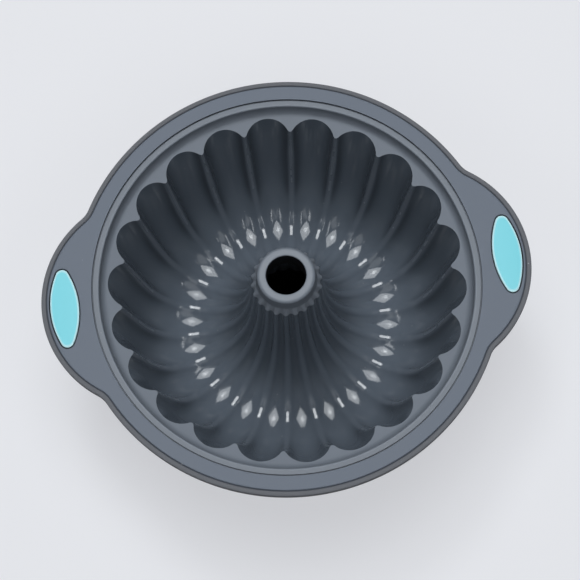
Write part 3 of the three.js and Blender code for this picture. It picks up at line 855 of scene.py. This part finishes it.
def feed(tree, socket, value):
    """Links a socket to another one, or sets it to a number or a colour."""
    if isinstance(value, bpy.types.NodeSocket):
        tree.links.new(value, socket)
    elif isinstance(value, tuple):
        socket.default_value = (*value, 1.0)
    else:
        socket.default_value = value


def maths(tree, operation, first, second, clamp=False):
    """The result of an operation on two values, each a number or a socket."""
    made = node(tree, "ShaderNodeMath", operation=operation, use_clamp=clamp)
    feed(tree, made.inputs[0], first)
    feed(tree, made.inputs[1], second)
    return made.outputs[0]


def ranged(tree, value, low, high, start=0.0, end=1.0):
    """A number that goes from low to high while the value goes from start to end, held at both ends."""
    made = node(tree, "ShaderNodeMapRange")
    made.inputs["From Min"].default_value = start
    made.inputs["From Max"].default_value = end
    made.inputs["To Min"].default_value = low
    made.inputs["To Max"].default_value = high
    feed(tree, made.inputs["Value"], value)
    return made.outputs["Result"]


def two_tones(tree, mask, first, second):
    """A colour that goes from the first tone to the second by a mask."""
    made = node(tree, "ShaderNodeMix", data_type="RGBA")
    feed(tree, made.inputs["Factor"], mask)
    feed(tree, made.inputs[6], first)
    feed(tree, made.inputs[7], second)
    return made.outputs[2]


def mesh_mask(tree, name):
    """A mask of the mesh, by its name."""
    return node(tree, "ShaderNodeAttribute", attribute_name=name).outputs["Fac"]


def shaded(tree, colour):
    """The colour, but nearly black where the mesh marks a narrow place that light hardly reaches."""
    return two_tones(tree, mesh_mask(tree, "shade"), colour, DEEP_SHADE_TONE)


def group_socket(group, name, direction, kind, value=None):
    """Adds a named socket to a node group."""
    socket = group.interface.new_socket(name=name, in_out=direction, socket_type=kind)
    if value is not None:
        socket.default_value = value


def silicone_skin():
    """Moulded silicone: soft clouds of tone, fine matt grain and sparse dust flecks.

    Colour is the base colour times the cloud tone, with flecks laid over it. Roughness follows the
    clouds, and height is the grain.
    """
    group = bpy.data.node_groups.new("silicone_skin", "ShaderNodeTree")
    group_socket(group, "Colour", "INPUT", "NodeSocketColor", (0.2, 0.2, 0.2, 1.0))
    group_socket(group, "Roughness", "INPUT", "NodeSocketFloat", 0.5)
    group_socket(group, "Cloud", "INPUT", "NodeSocketFloat", 0.1)
    group_socket(group, "Dust", "INPUT", "NodeSocketFloat", 0.3)
    group_socket(group, "Colour", "OUTPUT", "NodeSocketColor")
    group_socket(group, "Roughness", "OUTPUT", "NodeSocketFloat")
    group_socket(group, "Height", "OUTPUT", "NodeSocketFloat")
    given = node(group, "NodeGroupInput").outputs
    result = node(group, "NodeGroupOutput").inputs
    place = node(group, "ShaderNodeTexCoord").outputs["Object"]

    cloud = node(group, "ShaderNodeTexNoise", Scale=26.0, Detail=5.0, Roughness=0.6)
    feed(group, cloud.inputs["Vector"], place)
    centred = maths(group, "SUBTRACT", cloud.outputs["Fac"], 0.5)
    tone = maths(group, "ADD", maths(group, "MULTIPLY", centred, given["Cloud"]), 1.0)
    toned = node(group, "ShaderNodeVectorMath", operation="SCALE")
    feed(group, toned.inputs[0], given["Colour"])
    feed(group, toned.inputs["Scale"], tone)

    fleck = node(group, "ShaderNodeTexVoronoi", Scale=150.0, Randomness=1.0)
    feed(group, fleck.inputs["Vector"], place)
    near = ranged(group, fleck.outputs["Distance"], 1.0, 0.0, 0.045, 0.085)
    chosen = node(group, "ShaderNodeSeparateColor")
    feed(group, chosen.inputs["Color"], fleck.outputs["Color"])
    rare = maths(group, "GREATER_THAN", chosen.outputs["Red"], 0.8)
    dust = maths(group, "MULTIPLY", maths(group, "MULTIPLY", near, rare), given["Dust"])
    feed(group, result["Colour"], two_tones(group, dust, toned.outputs["Vector"], FLECK_TONE))

    rough_swing = maths(group, "MULTIPLY", centred, 0.16)
    feed(group, result["Roughness"], maths(group, "ADD", rough_swing, given["Roughness"], clamp=True))

    grain = node(group, "ShaderNodeTexNoise", Scale=1500.0, Detail=2.0, Roughness=0.5)
    feed(group, grain.inputs["Vector"], place)
    feed(group, result["Height"], grain.outputs["Fac"])
    return group


skin = silicone_skin()


def silicone(name, specular, cloud, dust, grain):
    """A silicone finish: the shared skin with its own mirror strength, clouds, dust and grain.

    Returns the material and its skin node, which still needs a colour and a roughness.
    """
    material = bpy.data.materials.new(name)
    material.use_nodes = True
    tree = material.node_tree
    shader = tree.nodes["Principled BSDF"]
    shader.inputs["IOR"].default_value = 1.45
    shader.inputs["Specular IOR Level"].default_value = specular
    coat = node(tree, "ShaderNodeGroup", node_tree=skin, Cloud=cloud, Dust=dust)
    bump = node(tree, "ShaderNodeBump", Strength=grain, Distance=GRAIN_HEIGHT)
    feed(tree, shader.inputs["Base Color"], coat.outputs["Colour"])
    feed(tree, shader.inputs["Roughness"], coat.outputs["Roughness"])
    feed(tree, bump.inputs["Height"], coat.outputs["Height"])
    feed(tree, shader.inputs["Normal"], bump.outputs["Normal"])
    return material, coat


def rim_finish():
    """Matt grey silicone, duller and a little warmer on the border outside the groove."""
    material, coat = silicone("rim_silicone", specular=0.45, cloud=0.10, dust=0.5, grain=0.05)
    tree = material.node_tree
    border = mesh_mask(tree, "border")
    feed(tree, coat.inputs["Colour"], shaded(tree, two_tones(tree, border, FLANGE_TONE, BORDER_TONE)))
    feed(tree, coat.inputs["Roughness"], ranged(tree, border, 0.58, 0.8))
    return material


def grip_finish():
    """Teal silicone, with a painted highlight: paler along the thin edge of the faces."""
    material, coat = silicone("grip_silicone", specular=0.5, cloud=0.06, dust=0.25, grain=0.08)
    tree = material.node_tree
    feed(tree, coat.inputs["Colour"], two_tones(tree, mesh_mask(tree, "edge"), TEAL, TEAL_EDGE_HIGHLIGHT))
    coat.inputs["Roughness"].default_value = 0.46
    return material


def shell_finish():
    """Grey silicone, dark and glossy in the flutes, pale and matt on the ledge, with polished ridge flats.

    Colour and roughness run from matt to glossy by the gloss mask, and the polish mask is the weight
    of a coat.
    """
    material, coat = silicone("cavity_silicone", specular=0.7, cloud=0.14, dust=0.12, grain=0.06)
    tree = material.node_tree
    shader = tree.nodes["Principled BSDF"]
    gloss = mesh_mask(tree, "gloss")
    feed(tree, coat.inputs["Colour"], shaded(tree, two_tones(tree, gloss, LEDGE_TONE, FLUTE_TONE)))
    feed(tree, coat.inputs["Roughness"], ranged(tree, gloss, 0.56, 0.13))
    feed(tree, shader.inputs["Coat Weight"], mesh_mask(tree, "polish"))
    shader.inputs["Coat Roughness"].default_value = 0.1
    shader.inputs["Coat IOR"].default_value = 1.62
    return material


def steel_finish():
    """Drawn steel wire: bright metal with tone and roughness that change in small spots."""
    material = bpy.data.materials.new("hoop_steel")
    material.use_nodes = True
    tree = material.node_tree
    shader = tree.nodes["Principled BSDF"]
    shader.inputs["Metallic"].default_value = 1.0
    spots = node(tree, "ShaderNodeTexNoise", Scale=400.0, Detail=3.0)
    feed(tree, spots.inputs["Vector"], node(tree, "ShaderNodeTexCoord").outputs["Object"])
    tone = two_tones(tree, spots.outputs["Fac"], (0.48, 0.49, 0.51), (0.60, 0.61, 0.62))
    feed(tree, shader.inputs["Base Color"], tone)
    feed(tree, shader.inputs["Roughness"], ranged(tree, spots.outputs["Fac"], 0.25, 0.45))
    return material


# The pan

shell_piece(shell_finish())
rim_piece(rim_finish())
hoop_piece(steel_finish())
teal = grip_finish()
grip_piece("grip_left", "grip_insert_left", -1, teal)
grip_piece("grip_right", "grip_insert_right", 1, teal)


# Floor, light and camera

STAGE_HALF_WIDTH = 30000.0
FLOOR_TONE = (0.88, 0.885, 0.91)
FLOOR_GLOW = (0.80, 0.806, 0.84)
# Nearly black floor tone under the tube: a painted shadow.
UNDER_TUBE_SHADOW_TONE = (0.01, 0.01, 0.01)
UNDER_TUBE_RADIUS = 0.055
UNDER_TUBE_BLUR = 0.01
GLOW_SHARE = 0.62


def background_ray(tree):
    """1 for a ray that shows the background: straight from the camera, in a mirror or through glass."""
    path = node(tree, "ShaderNodeLightPath").outputs
    mirror = maths(tree, "MAXIMUM", path["Is Camera Ray"], path["Is Glossy Ray"])
    return maths(tree, "MAXIMUM", mirror, path["Is Transmission Ray"])


def pale_floor():
    """A wide level square under the pan, in a pale matt finish, with a painted shadow right under the
    tube.

    Seen straight or in a mirror, more than half of its tone is its own, so that shadows stay soft.
    """
    corners = np.array([[-1, -1, 0], [1, -1, 0], [1, 1, 0], [-1, 1, 0]]) * STAGE_HALF_WIDTH
    floor = add_object("pale_floor", corners, np.array([[0, 1, 2, 3]]))
    material = bpy.data.materials.new("pale_floor")
    material.use_nodes = True
    tree = material.node_tree
    shader = tree.nodes["Principled BSDF"]
    shader.inputs["Roughness"].default_value = 0.7
    shader.inputs["Specular IOR Level"].default_value = 0.2
    length = node(tree, "ShaderNodeVectorMath", operation="LENGTH")
    feed(tree, length.inputs[0], node(tree, "ShaderNodeTexCoord").outputs["Object"])
    radius = length.outputs["Value"]
    # Painted shadow: within this radius of the axis the floor is nearly black and has no glow of its own.
    clear = maths(tree, "GREATER_THAN", radius, UNDER_TUBE_RADIUS)
    feed(tree, shader.inputs["Base Color"], two_tones(tree, clear, UNDER_TUBE_SHADOW_TONE, FLOOR_TONE))
    start, end = UNDER_TUBE_RADIUS - UNDER_TUBE_BLUR, UNDER_TUBE_RADIUS + UNDER_TUBE_BLUR
    share = ranged(tree, radius, 0.0, GLOW_SHARE, start, end)
    own = node(tree, "ShaderNodeEmission", Color=(*FLOOR_GLOW, 1.0))
    mixed = node(tree, "ShaderNodeMixShader")
    feed(tree, mixed.inputs["Fac"], maths(tree, "MULTIPLY", background_ray(tree), share))
    feed(tree, mixed.inputs[1], shader.outputs["BSDF"])
    feed(tree, mixed.inputs[2], own.outputs["Emission"])
    feed(tree, tree.nodes["Material Output"].inputs["Surface"], mixed.outputs["Shader"])
    floor.data.materials.append(material)


def soft_light(name, direction, width, length, brightness, distance=3.0, mirrored=True):
    """An oval lamp that faces the rim's centre, its length along Y, with or without a mirror image.

    Its power is the brightness of its face times pi times its area.
    """
    lamp = bpy.data.lights.new(name, "AREA")
    lamp.shape = "ELLIPSE"
    lamp.color = (0.94, 0.975, 1.0)
    lamp.size = width
    lamp.size_y = length
    lamp.energy = brightness * math.pi * math.pi * width * length / 4
    item = bpy.data.objects.new(name, lamp)
    ray = Vector(direction).normalized()
    along = Vector((0.0, 1.0, 0.0))
    along = (along - along.dot(ray) * ray).normalized()
    pose = Matrix((along.cross(ray), along, ray)).transposed().to_4x4()
    pose.translation = Vector((0.0, 0.0, RIM_Z * MM)) + distance * ray
    item.matrix_world = pose
    item.visible_camera = False
    item.visible_glossy = mirrored
    bpy.context.scene.collection.objects.link(item)


def surroundings():
    """Faint even light from all round."""
    world = bpy.data.worlds.new("surroundings")
    world.use_nodes = True
    bpy.context.scene.world = world
    room = world.node_tree.nodes["Background"]
    room.inputs["Color"].default_value = (0.95, 0.97, 1.0, 1.0)
    room.inputs["Strength"].default_value = 0.06


def add_camera(elevation, yaw, roll, distance, focal_px, frame_px, centre_px):
    """A camera on a sphere round the rim's centre, which lands on the given pixel of the frame.

    The aim is turned off the centre by the pixel's offset over the focal length.
    """
    lens = bpy.data.cameras.new("camera")
    lens.sensor_width = 36.0
    lens.lens = focal_px / frame_px * lens.sensor_width
    lens.clip_end = 50.0
    e, y = math.radians(elevation), math.radians(yaw)
    ray = Vector((-math.sin(y) * math.cos(e), -math.cos(y) * math.cos(e), math.sin(e)))
    right = Vector((math.cos(y), -math.sin(y), 0.0))
    up = ray.cross(right)
    turn = Matrix.Rotation(-math.radians(roll), 3, ray)
    right, up = turn @ right, turn @ up
    offset_x = (centre_px[0] - frame_px / 2) / focal_px
    offset_y = (frame_px / 2 - centre_px[1]) / focal_px
    aim = (-ray - offset_x * right - offset_y * up).normalized()
    back = -aim
    right = (right - right.dot(back) * back).normalized()
    up = back.cross(right)
    item = bpy.data.objects.new("camera", lens)
    pose = Matrix((right, up, back)).transposed().to_4x4()
    pose.translation = Vector((0.0, 0.0, RIM_Z * MM)) + distance * MM * ray
    item.matrix_world = pose
    bpy.context.scene.collection.objects.link(item)
    bpy.context.scene.camera = item


pale_floor()
soft_light("overhead_lamp", (0.0, 0.257, 1.0), width=2.18, length=2.18, brightness=4.4)
soft_light("core_lamp", (0.0, 0.257, 1.0), width=0.2, length=0.2, brightness=16.0, distance=2.99)
soft_light("front_lamp", (0.0, -0.7, 1.0), width=2.0, length=2.0, brightness=1.0)
soft_light("back_lamp", (-0.12, 0.55, 1.0), width=0.7, length=0.7, brightness=12.0, mirrored=False)
soft_light("left_strip", (-0.6, -0.5, 1.0), width=0.24, length=2.3, brightness=5.2)
soft_light("right_strip", (0.6, -0.5, 1.0), width=0.24, length=2.3, brightness=5.2)
surroundings()
add_camera(
    elevation=74.0, yaw=3.1, roll=4.1, distance=900.0,
    focal_px=1498.0, frame_px=580.0, centre_px=(286.5, 280.9),
)

bpy.context.scene.view_settings.view_transform = "Standard"
